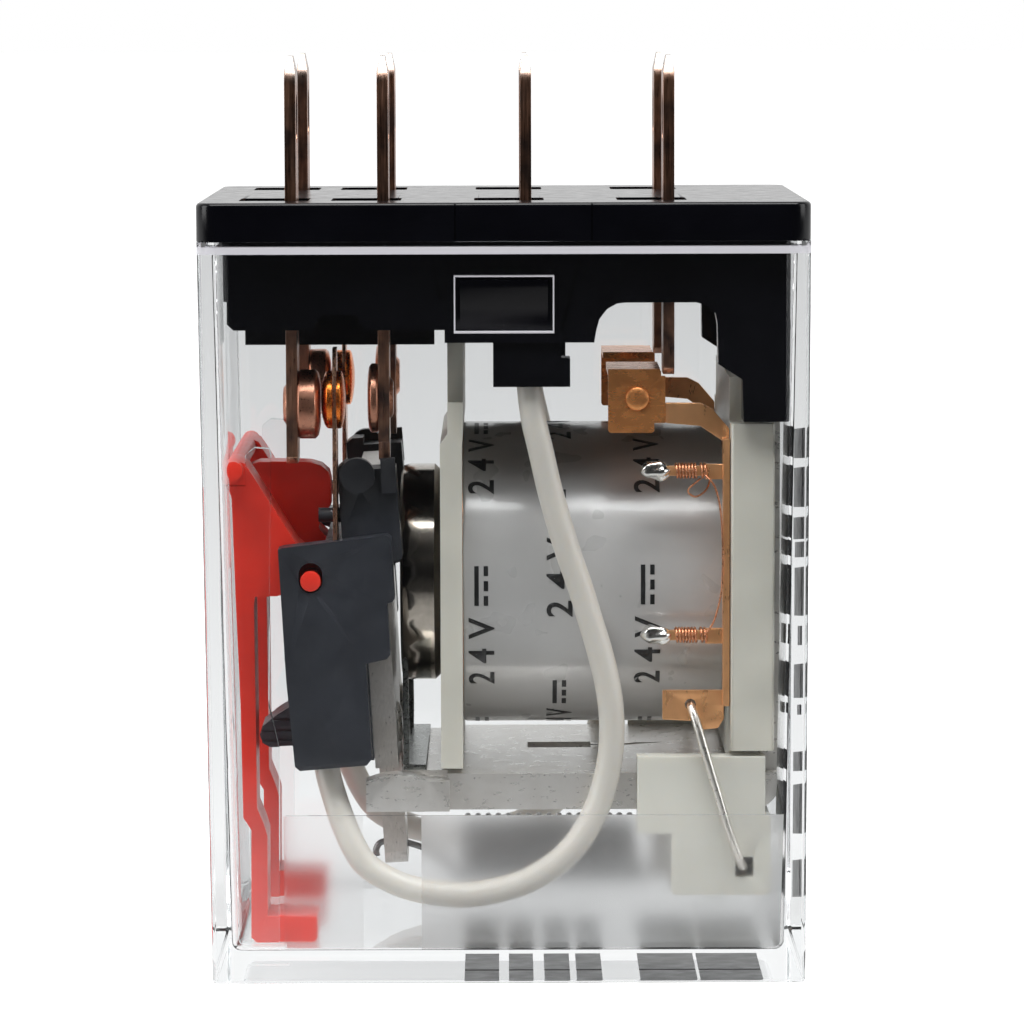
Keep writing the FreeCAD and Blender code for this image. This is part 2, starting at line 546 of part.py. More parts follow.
LEVER_WEB_OUTLINE = [
    (-11.55, -13.6), (-10.55, -15.1), (-10.0, -15.9), (-9.6, -16.4), (-9.6, -17.3),
    (-11.1, -17.6), (-11.85, -17.0), (-12.0, -13.6)]


def make_lever():
    arm = prism_xz(LEVER_ARM_OUTLINE, -LEVER_OUTER_Y, -LEVER_INNER_Y)
    horn = prism_xz(HORN_OUTLINE, -0.90, 0.90)
    web = prism_xz(LEVER_WEB_OUTLINE, -LEVER_INNER_Y - 0.01, LEVER_INNER_Y + 0.01)
    pivot = rod_y(PIVOT_X, -8.00, 8.00, PIVOT_Z, PIVOT_R)
    lever = fuse(both(arm) + [horn, web, pivot])
    pin = rod_y(PIN_X, -8.62, -LEVER_INNER_Y, PIN_Z, PIN_R)
    return fuse([lever] + both(pin))


# ---------------------------------------------------------------- coil lugs and strips
def make_lug():
    lug = box(4.64, 7.19, -7.65, -7.35, -10.38, -7.62)
    lug = lug.cut(box(6.70, 7.3, -8, -7, -10.5, -9.94)).cut(box(7.0, 7.3, -8, -7, -7.85, -7.5))
    lug = round_edges(lug, lambda edge: (runs_along(edge, "y")
                                         and edge.BoundBox.ZMax < -10.3), 0.15)
    lug = fuse([lug, box(4.64, 6.96, -7.65, -3.10, -7.83, -7.53)])
    return lug.cut(rod_y(LUG_RIVET_X, -9, -7, LUG_RIVET_Z, 0.30))


def lug_rivet():
    return revolve_y([(-7.83, 0.0), (-7.83, 0.34), (-7.76, 0.50), (-7.65, 0.54), (-7.65, 0.30),
                      (-7.35, 0.30), (-7.35, 0.48), (-7.20, 0.42), (-7.20, 0.0)],
                     LUG_RIVET_X, LUG_RIVET_Z)


def post_bar(x0, x1, z, section):
    below, above = section
    return box(x0, x1, POST_Y - 0.17, POST_Y + 0.17, z - below, z + above)


def make_strip():
    arm = prism_xz([(7.19, -9.04), (8.75, -9.05), (9.29, -9.32), (10.04, -10.20),
                    (10.04, -10.95), (9.74, -10.75), (8.75, -10.08), (7.19, -9.94)],
                   -7.62, -7.38)
    upright_strip = box(9.74, 10.04, -8.40, -7.38, -22.60, -10.60)
    lead_plate = prism_xz([(7.05, -21.91), (9.80, -21.91), (9.80, -23.2), (9.55, -23.62),
                           (8.9, -23.69), (8.7, -23.30), (7.05, -23.22)],
                          POST_Y - 0.14, POST_Y + 0.14)
    posts = [post_bar(6.55, 9.80, z, POST_NARROW) for z in POST_HEIGHTS]
    roots = [post_bar(8.95, 9.80, z, POST_WIDE) for z in POST_HEIGHTS]
    strip = fuse([arm, upright_strip, lead_plate] + posts + roots)
    return strip.cut(rod_y(LEAD_X, -9, -7, LEAD_Z, 0.24))


def wire_wrap(z):
    """Eight turns of coil wire around a post."""
    start, pitch, turns = 7.58, 0.20, 8
    profile = [(start, 0.30)]
    for turn in range(turns):
        x = start + turn * pitch
        profile += [(x + 0.02, 0.38), (x + 0.07, 0.45), (x + 0.13, 0.45), (x + 0.18, 0.38)]
    profile.append((start + turns * pitch, 0.30))
    return revolve_x(profile, POST_Y, z).cut(post_bar(6, 11, z, POST_WIDE))


def solder_joint(z):
    blob = revolve_x([(6.06, 0.0), (6.08, 0.20), (6.22, 0.32), (6.55, 0.36), (6.80, 0.30),
                      (7.05, 0.42), (7.35, 0.45), (7.57, 0.34), (7.57, 0.0)], POST_Y, z)
    return blob.cut(post_bar(6.55, 11, z, POST_NARROW))


# ---------------------------------------------------------------- lamp, resistor and leads
def make_holder():
    low, outer_y = -31.10, -8.60
    wall = box(5.91, 11.64, outer_y, -7.45, -28.30, -24.85)
    wall = wall.fuse(box(7.45, 11.88, outer_y, -7.45, low, -27.5))
    wall = round_edges(wall, lambda edge: (runs_along(edge, "y") and edge.Length > 1
                                           and edge.BoundBox.ZMax < -31), 0.25)
    bridge = box(7.45, 11.88, -7.50, 7.50, low, -27.60)
    return cut_all(fuse([bridge] + both(wall)), [
        # lead passages through the walls
        box(10.31, 11.11, -9, -5.6, -30.28, -29.38),
        box(10.31, 11.11, 5.9, 9, -30.28, -29.38),
        # lamp hole and resistor pocket
        rod((LAMP_X, LAMP_Y, -31.2), (LAMP_X, LAMP_Y, -28.9), 1.05),
        box(8.75, 10.55, 0.6, 5.6, -31.2, -29.20),
        # channels between the passages and to the lamp
        box(10.31, 11.11, -5.7, 6.0, -30.28, -29.38),
        box(9.3, 10.5, -5.7, LAMP_Y, -30.28, -29.60)])


def make_lamp():
    tip = Vector(LAMP_X, LAMP_Y, -31.30)
    lamp = Part.makeCylinder(LAMP_R, 2.3, tip).fuse(Part.makeSphere(LAMP_R, tip))
    collar = Part.makeCylinder(1.03, 0.3, Vector(LAMP_X, LAMP_Y, -29.25))
    return lamp.fuse(collar).removeSplitter()


def make_resistor():
    # y0, y1, radius of the body and its two thicker ends
    return fuse([rod_y(LAMP_X, y0, y1, RESISTOR_Z, radius) for y0, y1, radius in (
        (1.25, 4.95, 0.62), (1.10, 1.95, 0.76), (4.25, 5.10, 0.76))])


# (x, y, z) stations of the lamp lead, from the coil strip down to the holder
LEAD_PATH = [
    (LEAD_X, -7.20, LEAD_Z), (LEAD_X, -7.90, LEAD_Z), (8.34, -8.36, -22.68),
    (8.50, -8.62, -23.10), (8.75, -8.82, -23.95), (9.35, -8.90, -26.00),
    (9.95, -8.95, -28.00), (10.42, -8.98, -29.35), (10.60, -8.85, -29.75),
    (10.70, -8.30, -29.85), (10.70, -7.30, -29.85), (10.70, -6.30, -29.85)]

# (x, y, z) stations of the sleeve, from the base socket down and round to the carrier
SLEEVE_PATH = [
    (SLEEVE_X, SLEEVE_Y, -7.30), (SLEEVE_X, SLEEVE_Y, -8.34), (1.33, -8.17, -9.82),
    (1.62, -8.2, -11.07), (1.95, -8.2, -12.55), (2.35, -8.2, -14.06), (2.86, -8.2, -15.74),
    (3.37, -8.2, -17.22), (3.82, -8.2, -18.71), (4.26, -8.2, -20.20), (4.62, -8.2, -21.75),
    (4.78, -8.2, -23.28), (4.70, -8.2, -24.91), (4.39, -8.2, -26.40), (3.92, -8.2, -27.62),
    (3.18, -8.2, -28.81), (2.15, -8.2, -29.80), (0.65, -8.2, -30.63), (-1.33, -8.2, -31.08),
    (-3.04, -8.15, -31.06), (-4.76, -8.05, -30.66), (-6.12, -7.90, -29.91),
    (-6.78, -7.75, -29.05), (-7.34, -7.40, -27.82), (-7.74, -7.05, -26.70),
    (-8.00, -6.75, -25.76), (-8.10, -6.55, -24.90), (-8.12, -6.50, -24.20)]

# (x, y, z) stations of the return spring's end loops, at the armature and at the yoke
ARMATURE_LOOP = [
    (-5.95, 0.0, -30.62), (-5.85, 0.0, -30.28), (-5.50, 0.0, -30.06), (-4.90, 0.0, -30.08),
    (-4.20, 0.0, -30.28), (-3.40, 0.0, -30.55), (-2.75, -0.25, -30.95), (-2.35, -0.72, -31.38)]
YOKE_LOOP = [(6.22, 0.0, -31.60), (6.55, 0.0, -31.28), (7.00, 0.0, -31.15),
             (7.45, 0.0, -31.25), (7.62, 0.0, -31.60)]


def make_return_spring():
    turns, steps_per_turn = 17, 8
    x_start, x_end = -2.00, 6.00
    steps = turns * steps_per_turn
    helix = []
    for i in range(steps + 1):
        angle = math.radians(240) + 2 * math.pi * i / steps_per_turn
        helix.append((x_start + (x_end - x_start) * i / steps,
                      SPRING_TURN_R * math.cos(angle),
                      SPRING_Z + SPRING_TURN_R * math.sin(angle)))
    return bent_wire(ARMATURE_LOOP + helix + YOKE_LOOP, SPRING_WIRE / 2)


# ---------------------------------------------------------------- build, one file per piece
for side, y in SIDES:
    for kind in ROW_X:
        save("terminal_%s_%s" % (kind, side), terminal(kind, y))
    save("contact_nc_" + side, fixed_contact(ROW_X["nc"], 1, NC_FACE, 0.22, 0.08, y, NC_Z))
    save("contact_no_" + side, fixed_contact(ROW_X["no"], -1, NO_FACE, 0.16, 0.05, y, NO_Z))
    save("moving_spring_" + side, moving_spring(y))
    save("moving_contact_" + side, moving_contact(y))

save("base", make_base())
save("cover", make_cover())
save("yoke", make_yoke())
save("core", make_core())
save("bobbin", make_bobbin())
save("coil_winding", make_winding())
save("coil_tape", make_tape())
save("armature", make_armature())
save("armature_rivets", *[armature_rivet(y, z) for y, z in RIVET_PLACES])
save("contact_carrier", make_carrier())
save("armature_retainer", make_retainer())
save("indicator_lever", make_lever())
save("coil_wire_wraps", *both(*[wire_wrap(z) for z in POST_HEIGHTS]))
save("solder_joints", *both(*[solder_joint(z) for z in POST_HEIGHTS]))
save("coil_lug_rivets", *both(lug_rivet()))
save("lamp_holder", make_holder())
save("lamp", make_lamp())
save("resistor", make_resistor())
save("return_spring", make_return_spring())

for front_name, rear_name, front in (
        ("coil_lug_front", "coil_lug_rear", make_lug()),
        ("coil_strip_front", "coil_strip_rear", make_strip()),
        ("lamp_lead", "resistor_lead", tube(LEAD_PATH, LEAD_R)),
        ("lead_sleeve_front", "lead_sleeve_rear", tube(SLEEVE_PATH, SLEEVE_R))):
    save(front_name, front)
    save(rear_name, mirror(front))
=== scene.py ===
# A plug-in relay in a clear cover. It stands on the closed end of the cover: the terminal blades
# point up (+Z), the cover reaches down to z = -34.88 mm and the front faces -Y. The coil lies
# along X. Sizes are in millimetres and become metres where meshes are made.
import json
import math
import random
from functools import cached_property

import bmesh
import bpy
import numpy as np
from mathutils import Matrix, Vector

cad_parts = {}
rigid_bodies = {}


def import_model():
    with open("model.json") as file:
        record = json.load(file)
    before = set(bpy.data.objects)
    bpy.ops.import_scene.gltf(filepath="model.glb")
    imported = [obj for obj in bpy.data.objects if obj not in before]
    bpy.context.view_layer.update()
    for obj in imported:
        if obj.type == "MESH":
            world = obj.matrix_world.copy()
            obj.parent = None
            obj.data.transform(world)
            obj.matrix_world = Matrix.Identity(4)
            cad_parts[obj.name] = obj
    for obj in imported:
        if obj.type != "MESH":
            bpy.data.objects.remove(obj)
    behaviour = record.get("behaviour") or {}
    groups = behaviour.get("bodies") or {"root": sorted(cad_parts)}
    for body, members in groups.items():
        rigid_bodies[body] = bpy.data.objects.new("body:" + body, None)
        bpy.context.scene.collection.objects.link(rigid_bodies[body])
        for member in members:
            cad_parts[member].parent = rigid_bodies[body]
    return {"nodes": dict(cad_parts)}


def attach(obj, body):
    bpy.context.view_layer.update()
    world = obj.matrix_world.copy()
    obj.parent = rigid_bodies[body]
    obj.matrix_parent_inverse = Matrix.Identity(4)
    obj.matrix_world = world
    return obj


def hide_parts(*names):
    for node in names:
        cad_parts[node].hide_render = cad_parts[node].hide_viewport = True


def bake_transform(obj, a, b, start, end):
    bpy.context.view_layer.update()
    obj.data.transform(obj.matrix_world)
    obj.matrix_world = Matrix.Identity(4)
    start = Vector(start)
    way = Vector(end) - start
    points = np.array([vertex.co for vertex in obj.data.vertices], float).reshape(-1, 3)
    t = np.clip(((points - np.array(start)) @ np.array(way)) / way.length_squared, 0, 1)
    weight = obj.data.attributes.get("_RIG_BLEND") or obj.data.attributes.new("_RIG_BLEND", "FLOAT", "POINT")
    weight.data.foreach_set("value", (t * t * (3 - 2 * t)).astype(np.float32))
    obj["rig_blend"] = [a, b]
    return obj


for old in list(bpy.data.objects):
    bpy.data.objects.remove(old)
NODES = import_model()["nodes"]
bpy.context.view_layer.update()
scene = bpy.context.scene
rng = random.Random(7)

MM = 0.001
FRAME_BONE, ARMATURE_BONE = "relay_frame", "armature_group"

COIL_Z = -17.45
TAPE_R = 6.93
POST_Y = -8.00
POST_ZS = (-12.04, -19.42)
FLOOR_Z = -34.885


# ------------------------------------------------------------------ shader graphs
NOISE_MID = (0.3, 0.7)      # the span that holds most of a noise texture's values
BLACK, WHITE = (0.0, 0.0, 0.0), (1.0, 1.0, 1.0)


class Graph:
    """Builds the nodes of a material or a world. Textures run on object coordinates in mm."""

    def __init__(self, owner, output="OutputMaterial"):
        self.owner = owner
        owner.use_nodes = True
        self.tree = owner.node_tree
        self.tree.nodes.clear()
        self.output = self.node(output)

    def feed(self, socket, value):
        if isinstance(value, bpy.types.NodeSocket):
            self.tree.links.new(value, socket)
            return
        if socket.type == "RGBA" and len(value) == 3:
            value = (*value, 1.0)
        socket.default_value = value

    def node(self, kind, inputs=None, **settings):
        node = self.tree.nodes.new("ShaderNode" + kind)
        for key, value in settings.items():
            setattr(node, key, value)
        for key, value in (inputs or {}).items():
            self.feed(node.inputs[key], value)
        return node

    @cached_property
    def position(self):
        place = self.node("TexCoord").outputs["Object"]
        inputs = {0: place, "Scale": 1000.0}
        return self.node("VectorMath", inputs, operation="SCALE").outputs[0]

    @cached_property
    def axes(self):
        return self.node("SeparateXYZ", {0: self.position}).outputs

    def calc(self, operation, *values, clamp=False):
        inputs = dict(enumerate(values))
        return self.node("Math", inputs, operation=operation, use_clamp=clamp).outputs[0]

    def times(self, a, b, clamp=False):
        return self.calc("MULTIPLY", a, b, clamp=clamp)

    def between(self, value, low, high):
        return self.times(self.calc("GREATER_THAN", value, low),
                          self.calc("LESS_THAN", value, high))

    def stretch(self, *factors):
        inputs = {0: self.position, 1: factors}
        return self.node("VectorMath", inputs, operation="MULTIPLY").outputs[0]

    def noise(self, scale, detail=3.0, rough=0.5, vector=None, distortion=0.0):
        return self.node("TexNoise", {
            "Scale": scale, "Detail": detail, "Roughness": rough, "Distortion": distortion,
            "Vector": vector or self.position}).outputs["Fac"]

    def voronoi(self, scale):
        inputs = {"Scale": scale, "Vector": self.position}
        return self.node("TexVoronoi", inputs).outputs["Distance"]

    def ramp(self, value, span, to=(0.0, 1.0), **settings):
        return self.node("MapRange", {
            "From Min": span[0], "From Max": span[1], "To Min": to[0], "To Max": to[1],
            "Value": value}, **settings).outputs["Result"]

    def mix(self, factor, a, b):
        return self.node("Mix", {0: factor, 6: a, 7: b}, data_type="RGBA").outputs[2]

    def mix_shader(self, factor, a, b):
        return self.node("MixShader", {0: factor, 1: a, 2: b}).outputs[0]

    def bump(self, height, strength, depth):
        """A bump normal; depth is in mm."""
        return self.node("Bump", {
            "Strength": strength, "Distance": depth * MM, "Height": height}).outputs["Normal"]

    def principled(self, **inputs):
        named = {key.replace("_", " "): value for key, value in inputs.items()}
        return self.node("BsdfPrincipled", named).outputs[0]

    def finish(self, shader):
        self.feed(self.output.inputs["Surface"], shader)
        return self.owner


def material_graph(name):
    return Graph(bpy.data.materials.new(name))


# ------------------------------------------------------------------ materials
def plastic(name, color, rough, vary=0.06, grain=6.0, grain_depth=0.01, soft=0.0, coat=0.0,
            speck=0.0, specular=0.5, shadow=None):
    """Moulded plastic. vary: colour spread; soft: subsurface weight; speck: strength of pale dust;
    shadow: (low z, high z, amount) of a darkening towards the top."""
    g = material_graph(name)
    tint = g.mix(g.ramp(g.noise(scale=0.35, detail=2.0), NOISE_MID),
                 tuple(c * (1 - vary) for c in color),
                 tuple(min(1.0, c * (1 + 2 * vary)) for c in color))
    if shadow:
        low, high, amount = shadow
        darkness = g.ramp(g.axes["Z"], (low, high), to=(0.0, amount))
        tint = g.mix(darkness, tint, (0.003, 0.003, 0.004))
    if speck:
        dots = g.ramp(g.voronoi(scale=1.6), (0.0, 0.05), to=(1.0, 0.0))
        patches = g.ramp(g.noise(scale=0.6, detail=1.0), (0.56, 0.60))
        dust = g.times(g.times(dots, patches, clamp=True), speck)
        tint = g.mix(dust, tint, (0.55, 0.55, 0.53))
    extra = {}
    if soft:
        extra = dict(Subsurface_Weight=soft, Subsurface_Radius=(1.0, 0.8, 0.6),
                     Subsurface_Scale=0.0006)
    return g.finish(g.principled(
        Base_Color=tint,
        Roughness=g.ramp(g.noise(scale=1.3), NOISE_MID, to=(rough * 0.85, rough * 1.2)),
        Normal=g.bump(g.noise(scale=grain, detail=4.0, rough=0.6),
                      strength=0.25, depth=grain_depth * 0.35),
        Specular_IOR_Level=specular, Coat_Weight=coat, Coat_Roughness=0.06, **extra))


def metal(name, color, rough, vary=0.08, streak=(1, 1, 1), grain=8.0, grain_depth=0.006,
          stain=None, stain_amount=0.5, pit=0.0, metallic=1.0):
    """Metal. vary: colour spread; streak: stretch of the grain along x, y, z;
    stain: colour of the cloudy patches; pit: depth of pits against the grain."""
    g = material_graph(name)
    fine = g.noise(scale=grain, detail=5.0, rough=0.65, vector=g.stretch(*streak))
    tint = g.mix(g.ramp(fine, NOISE_MID),
                 tuple(c * (1 - vary) for c in color),
                 tuple(min(1.0, c * (1 + vary)) for c in color))
    if stain:
        patches = g.ramp(g.noise(scale=0.5), (0.42, 0.66))
        tint = g.mix(g.times(patches, stain_amount, clamp=True), tint, stain)
    height = fine
    if pit:
        pits = g.ramp(g.voronoi(scale=3.0), (0.0, 0.14))
        height = g.calc("ADD", g.times(pits, pit), fine)
    return g.finish(g.principled(
        Base_Color=tint, Metallic=metallic,
        Roughness=g.ramp(fine, (0.25, 0.75), to=(rough * 0.75, rough * 1.3)),
        Normal=g.bump(height, strength=0.3, depth=grain_depth * 0.4)))


def cover_material():
    """Clear plastic, frosted low on the inner face of the front wall, with its cut edges given a pale
    diffuse shader as a painted highlight.
    """
    g = material_graph("clear_cover")
    x, y, z = g.axes
    area = g.times(
        g.times(g.calc("LESS_THAN", z, -27.36), g.calc("GREATER_THAN", y, -9.75)),
        g.times(g.calc("LESS_THAN", y, -8.95), g.calc("GREATER_THAN", z, -33.45)))
    strong = g.calc("GREATER_THAN", x, -3.75)
    weak = g.between(x, -9.9, -6.35)
    frost_rough = g.calc("ADD", g.times(strong, 0.34), g.times(weak, 0.18))
    plain_rough = g.ramp(g.noise(scale=0.8), (0.3, 0.8), to=(0.004, 0.02))
    # slow waves in the wall, with faint scratches on top
    waves = g.noise(scale=0.18, detail=2.0, rough=0.4)
    scratches = g.ramp(
        g.noise(scale=1.2, detail=6.0, rough=0.75, vector=g.stretch(0.25, 0.25, 1.0)),
        (0.60, 0.75))
    # in the frosted area the glass colour darkens towards the bottom, from 0.96 down to 0.74: painted shade
    frost_shade_mask = g.times(area, g.calc("ADD", g.times(strong, 1.0), g.times(weak, 0.30), clamp=True))
    frost_painted_shade = g.ramp(z, (-33.3, -28.5), to=(0.74, 0.96))
    glass = g.node("BsdfGlass", {
        "Color": g.mix(frost_shade_mask, (0.985, 0.99, 0.992), g.mix(frost_painted_shade, BLACK, WHITE)),
        "Roughness": g.calc("ADD", g.times(area, frost_rough), plain_rough),
        "IOR": 1.50,
        "Normal": g.bump(g.calc("ADD", waves, g.times(scratches, 0.01)),
                         strength=0.25, depth=0.03)})
    # the cut edges, at the rim seat and round the snap window, get a pale diffuse shader: a painted
    # highlight in place of the light that the clear edges bend and reflect
    rim = g.between(z, -2.27, -1.93)
    window = g.times(g.times(g.between(x, -2.20, 2.22), g.between(z, -5.76, -3.21)),
                     g.calc("GREATER_THAN", g.calc("ABSOLUTE", y), 8.9))
    painted_edge_highlight = g.calc("MAXIMUM", g.times(rim, 0.80), g.times(window, 0.60))
    pale_highlight_diffuse = g.node("BsdfDiffuse", {"Color": (0.80, 0.79, 0.84)})
    wall = g.mix_shader(painted_edge_highlight, glass.outputs[0], pale_highlight_diffuse.outputs[0])
    # shadow and diffuse rays pass straight through, so that light reaches the inside
    rays = g.node("LightPath").outputs
    through = g.calc("MAXIMUM", rays["Is Shadow Ray"], rays["Is Diffuse Ray"])
    clear = g.node("BsdfTransparent", {"Color": (0.965, 0.97, 0.972)})
    return g.finish(g.mix_shader(through, wall, clear.outputs[0]))


def blade_material():
    """Streaked copper alloy with dark patches and paler tips."""
    g = material_graph("blade_copper_alloy")
    fine = g.noise(scale=2.0, detail=5.0, rough=0.65, vector=g.stretch(6, 2.5, 0.25))
    patches = g.noise(scale=0.7)
    warm = g.mix(g.ramp(fine, NOISE_MID), (0.36, 0.17, 0.10), (0.62, 0.34, 0.23))
    stained = g.mix(g.ramp(patches, (0.40, 0.66)), warm, (0.17, 0.11, 0.09))
    ragged_z = g.calc("ADD", g.axes["Z"], g.times(patches, 1.2))
    tip = g.times(g.ramp(ragged_z, (5.7, 6.6)), 1.0, clamp=True)
    return g.finish(g.principled(
        Base_Color=g.mix(tip, stained, (0.46, 0.40, 0.36)), Metallic=1.0,
        Roughness=g.ramp(fine, (0.25, 0.75), to=(0.22, 0.42)),
        Normal=g.bump(fine, strength=0.4, depth=0.006)))


def tape_material():
    """Grey glossy film with soft creases."""
    g = material_graph("coil_film")
    clouds = g.noise(scale=0.10, detail=2.0, vector=g.stretch(1.6, 1.0, 1.0))
    creases = g.noise(scale=0.30, vector=g.stretch(0.5, 1.6, 1.6), distortion=0.4)
    return g.finish(g.principled(
        Base_Color=g.mix(g.ramp(clouds, NOISE_MID), (0.50, 0.495, 0.49), (0.60, 0.595, 0.585)),
        Metallic=0.15,
        Roughness=g.ramp(g.noise(scale=0.6, detail=2.0), NOISE_MID, to=(0.26, 0.36)),
        Normal=g.bump(creases, strength=0.20, depth=0.035),
        Coat_Weight=0.5, Coat_Roughness=0.05))


def lens_material():
    g = material_graph("lamp_lens")
    return g.finish(g.principled(
        Base_Color=(0.85, 0.95, 0.86),
        Roughness=g.ramp(g.noise(scale=2.0), NOISE_MID, to=(0.05, 0.12)),
        Transmission_Weight=0.75, IOR=1.5))


MATERIALS = {
    "base": plastic("base_black_moulding", (0.0022, 0.0023, 0.0036), rough=0.20, vary=0.2,
                    grain=3.0, grain_depth=0.006, speck=0.2, specular=0.3),
    "cover": cover_material(),
    "blade": blade_material(),
    "contact": metal("fixed_contact_alloy", (0.62, 0.30, 0.20), rough=0.30,
                     stain=(0.30, 0.13, 0.08), stain_amount=0.6),
    "moving": metal("moving_contact_alloy", (0.98, 0.28, 0.05), rough=0.26,
                    stain=(0.70, 0.12, 0.02)),
    "spring_strip": metal("spring_bronze", (0.66, 0.36, 0.24), rough=0.28, streak=(1, 4, 0.4),
                          stain=(0.35, 0.18, 0.12)),
    "yoke": metal("yoke_nickel", (0.74, 0.72, 0.69), rough=0.30, vary=0.03, streak=(1, 1, 2.5),
                  grain=1.6, grain_depth=0.0010, stain=(0.56, 0.52, 0.47), stain_amount=0.35,
                  metallic=0.72),
    "core": metal("core_plating", (0.42, 0.38, 0.33), rough=0.13, vary=0.05, grain=14.0,
                  grain_depth=0.002, stain=(0.22, 0.19, 0.16), stain_amount=0.4),
    "armature": metal("armature_steel", (0.62, 0.59, 0.56), rough=0.32, vary=0.14,
                      streak=(3, 1, 1), grain=4.0, grain_depth=0.02, stain=(0.46, 0.42, 0.37),
                      stain_amount=0.4, pit=0.3, metallic=0.8),
    "retainer": metal("retainer_steel", (0.22, 0.23, 0.22), rough=0.28,
                      stain=(0.10, 0.10, 0.09)),
    "bobbin": plastic("bobbin_ivory", (0.58, 0.565, 0.50), rough=0.42, vary=0.04, grain=5.0,
                      grain_depth=0.012, soft=0.25),
    "winding": metal("winding_copper", (0.72, 0.34, 0.18), rough=0.30, streak=(9, 0.2, 0.2),
                     grain=1.2, grain_depth=0.03),
    "tape": tape_material(),
    "carrier": plastic("carrier_slate", (0.019, 0.021, 0.027), rough=0.40, vary=0.12, grain=4.0,
                       grain_depth=0.012, speck=0.2, shadow=(-14.6, -12.2, 0.8)),
    "lever": plastic("lever_red", (0.74, 0.034, 0.018), rough=0.34, vary=0.08, grain=3.0,
                     soft=0.35),
    "lug": metal("lug_copper", (0.90, 0.38, 0.13), rough=0.26, grain=2.0, grain_depth=0.002,
                 streak=(0.5, 1, 1), stain=(0.66, 0.22, 0.07), stain_amount=0.35,
                 metallic=0.72),
    "strip": metal("strip_bronze", (0.90, 0.47, 0.22), rough=0.30, grain=2.0,
                   grain_depth=0.002, streak=(1, 1, 0.4), stain=(0.66, 0.30, 0.11),
                   stain_amount=0.35, metallic=0.72),
    "wrap": metal("wrap_copper", (0.74, 0.36, 0.20), rough=0.28, stain=(0.55, 0.20, 0.10)),
    "solder": metal("solder_bright", (0.82, 0.81, 0.78), rough=0.16, grain=5.0,
                    grain_depth=0.02),
    "holder": plastic("holder_ivory", (0.62, 0.61, 0.55), rough=0.45, vary=0.03, grain=5.0,
                      grain_depth=0.012, soft=0.25),
    "lens": lens_material(),
    "resistor": plastic("resistor_lacquer", (0.62, 0.50, 0.30), rough=0.35, coat=0.4),
    "lead": metal("lead_tinned", (0.74, 0.71, 0.66), rough=0.30, streak=(1, 1, 0.5)),
    "spring_wire": metal("spring_wire", (0.20, 0.20, 0.20), rough=0.30),
    "sleeve": plastic("sleeve_ivory", (0.60, 0.57, 0.52), rough=0.40, vary=0.03, grain=3.0,
                      soft=0.4),
    "ink": plastic("print_ink", (0.012, 0.012, 0.013), rough=0.35, vary=0.2, grain=9.0,
                   grain_depth=0.004),
}


# ------------------------------------------------------------------ the CAD pieces
PREFIX_MATERIAL = {
    "terminal_": "blade", "contact_n": "contact", "moving_contact": "moving",
    "moving_spring": "spring_strip",
}
PIECE_MATERIAL = {
    "base": "base", "cover": "cover", "yoke": "yoke", "core": "core", "armature": "armature",
    "armature_retainer": "retainer", "armature_rivets": "yoke", "bobbin": "bobbin",
    "coil_winding": "winding", "coil_tape": "tape", "contact_carrier": "carrier",
    "indicator_lever": "lever", "coil_lug_front": "lug", "coil_lug_rear": "lug",
    "coil_lug_rivets": "lug", "coil_strip_front": "strip", "coil_strip_rear": "strip",
    "coil_wire_wraps": "wrap", "solder_joints": "solder", "lamp_holder": "holder",
    "lamp": "lens", "resistor": "resistor", "lamp_lead": "lead", "resistor_lead": "lead",
    "return_spring": "spring_wire", "lead_sleeve_front": "sleeve", "lead_sleeve_rear": "sleeve",
}
DEFAULT_BEVEL = 0.03
BEVEL = {
    "base": 0.07, "cover": 0.05, "yoke": 0.08, "core": 0.0, "armature": 0.07,
    "contact_carrier": 0.10, "indicator_lever": 0.10, "bobbin": 0.10, "lamp_holder": 0.12,
    "coil_lug_front": 0.04, "coil_lug_rear": 0.04, "coil_strip_front": 0.04,
    "coil_strip_rear": 0.04, "armature_retainer": 0.04, "coil_tape": 0.0, "coil_winding": 0.0,
}
del BEVEL["cover"]      # the cover takes no modifiers


def piece_material(name):
    for prefix, key in PREFIX_MATERIAL.items():
        if name.startswith(prefix):
            return MATERIALS[key]
    return MATERIALS[PIECE_MATERIAL[name]]


def assign(piece, material):
    slots = piece.data.materials
    if not slots:
        slots.append(material)
    for i in range(len(slots)):
        slots[i] = material


def smooth_all(mesh):
    mesh.polygons.foreach_set("use_smooth", [True] * len(mesh.polygons))


def smooth_shading(piece):
    attributes = piece.data.attributes
    if "custom_normal" in attributes:
        attributes.remove(attributes["custom_normal"])
    smooth_all(piece.data)


def round_edges(piece, width):
    weld = piece.modifiers.new("weld", "WELD")
    weld.merge_threshold = 2e-6
    if width:
        bevel = piece.modifiers.new("bevel", "BEVEL")
        bevel.width = width * MM
        bevel.segments = 2
        bevel.limit_method = "ANGLE"
        bevel.angle_limit = math.radians(40)
        bevel.use_clamp_overlap = True
        bevel.miter_outer = "MITER_ARC"
    split = piece.modifiers.new("split", "EDGE_SPLIT")
    split.use_edge_angle = True
    split.split_angle = math.radians(38)
    split.use_edge_sharp = False
    weighted = piece.modifiers.new("weighted", "WEIGHTED_NORMAL")
    weighted.mode = "FACE_AREA"
    weighted.weight = 60
    weighted.keep_sharp = False


for name, piece in NODES.items():
    assign(piece, piece_material(name))
    smooth_shading(piece)
    # each face of the cover keeps its own vertices, so that its walls refract as true planes
    if name != "cover":
        round_edges(piece, BEVEL.get(name, DEFAULT_BEVEL))


# ------------------------------------------------------------------ mesh helpers
def add_object(name, mesh):
    thing = bpy.data.objects.new(name, mesh)
    scene.collection.objects.link(thing)
    return thing


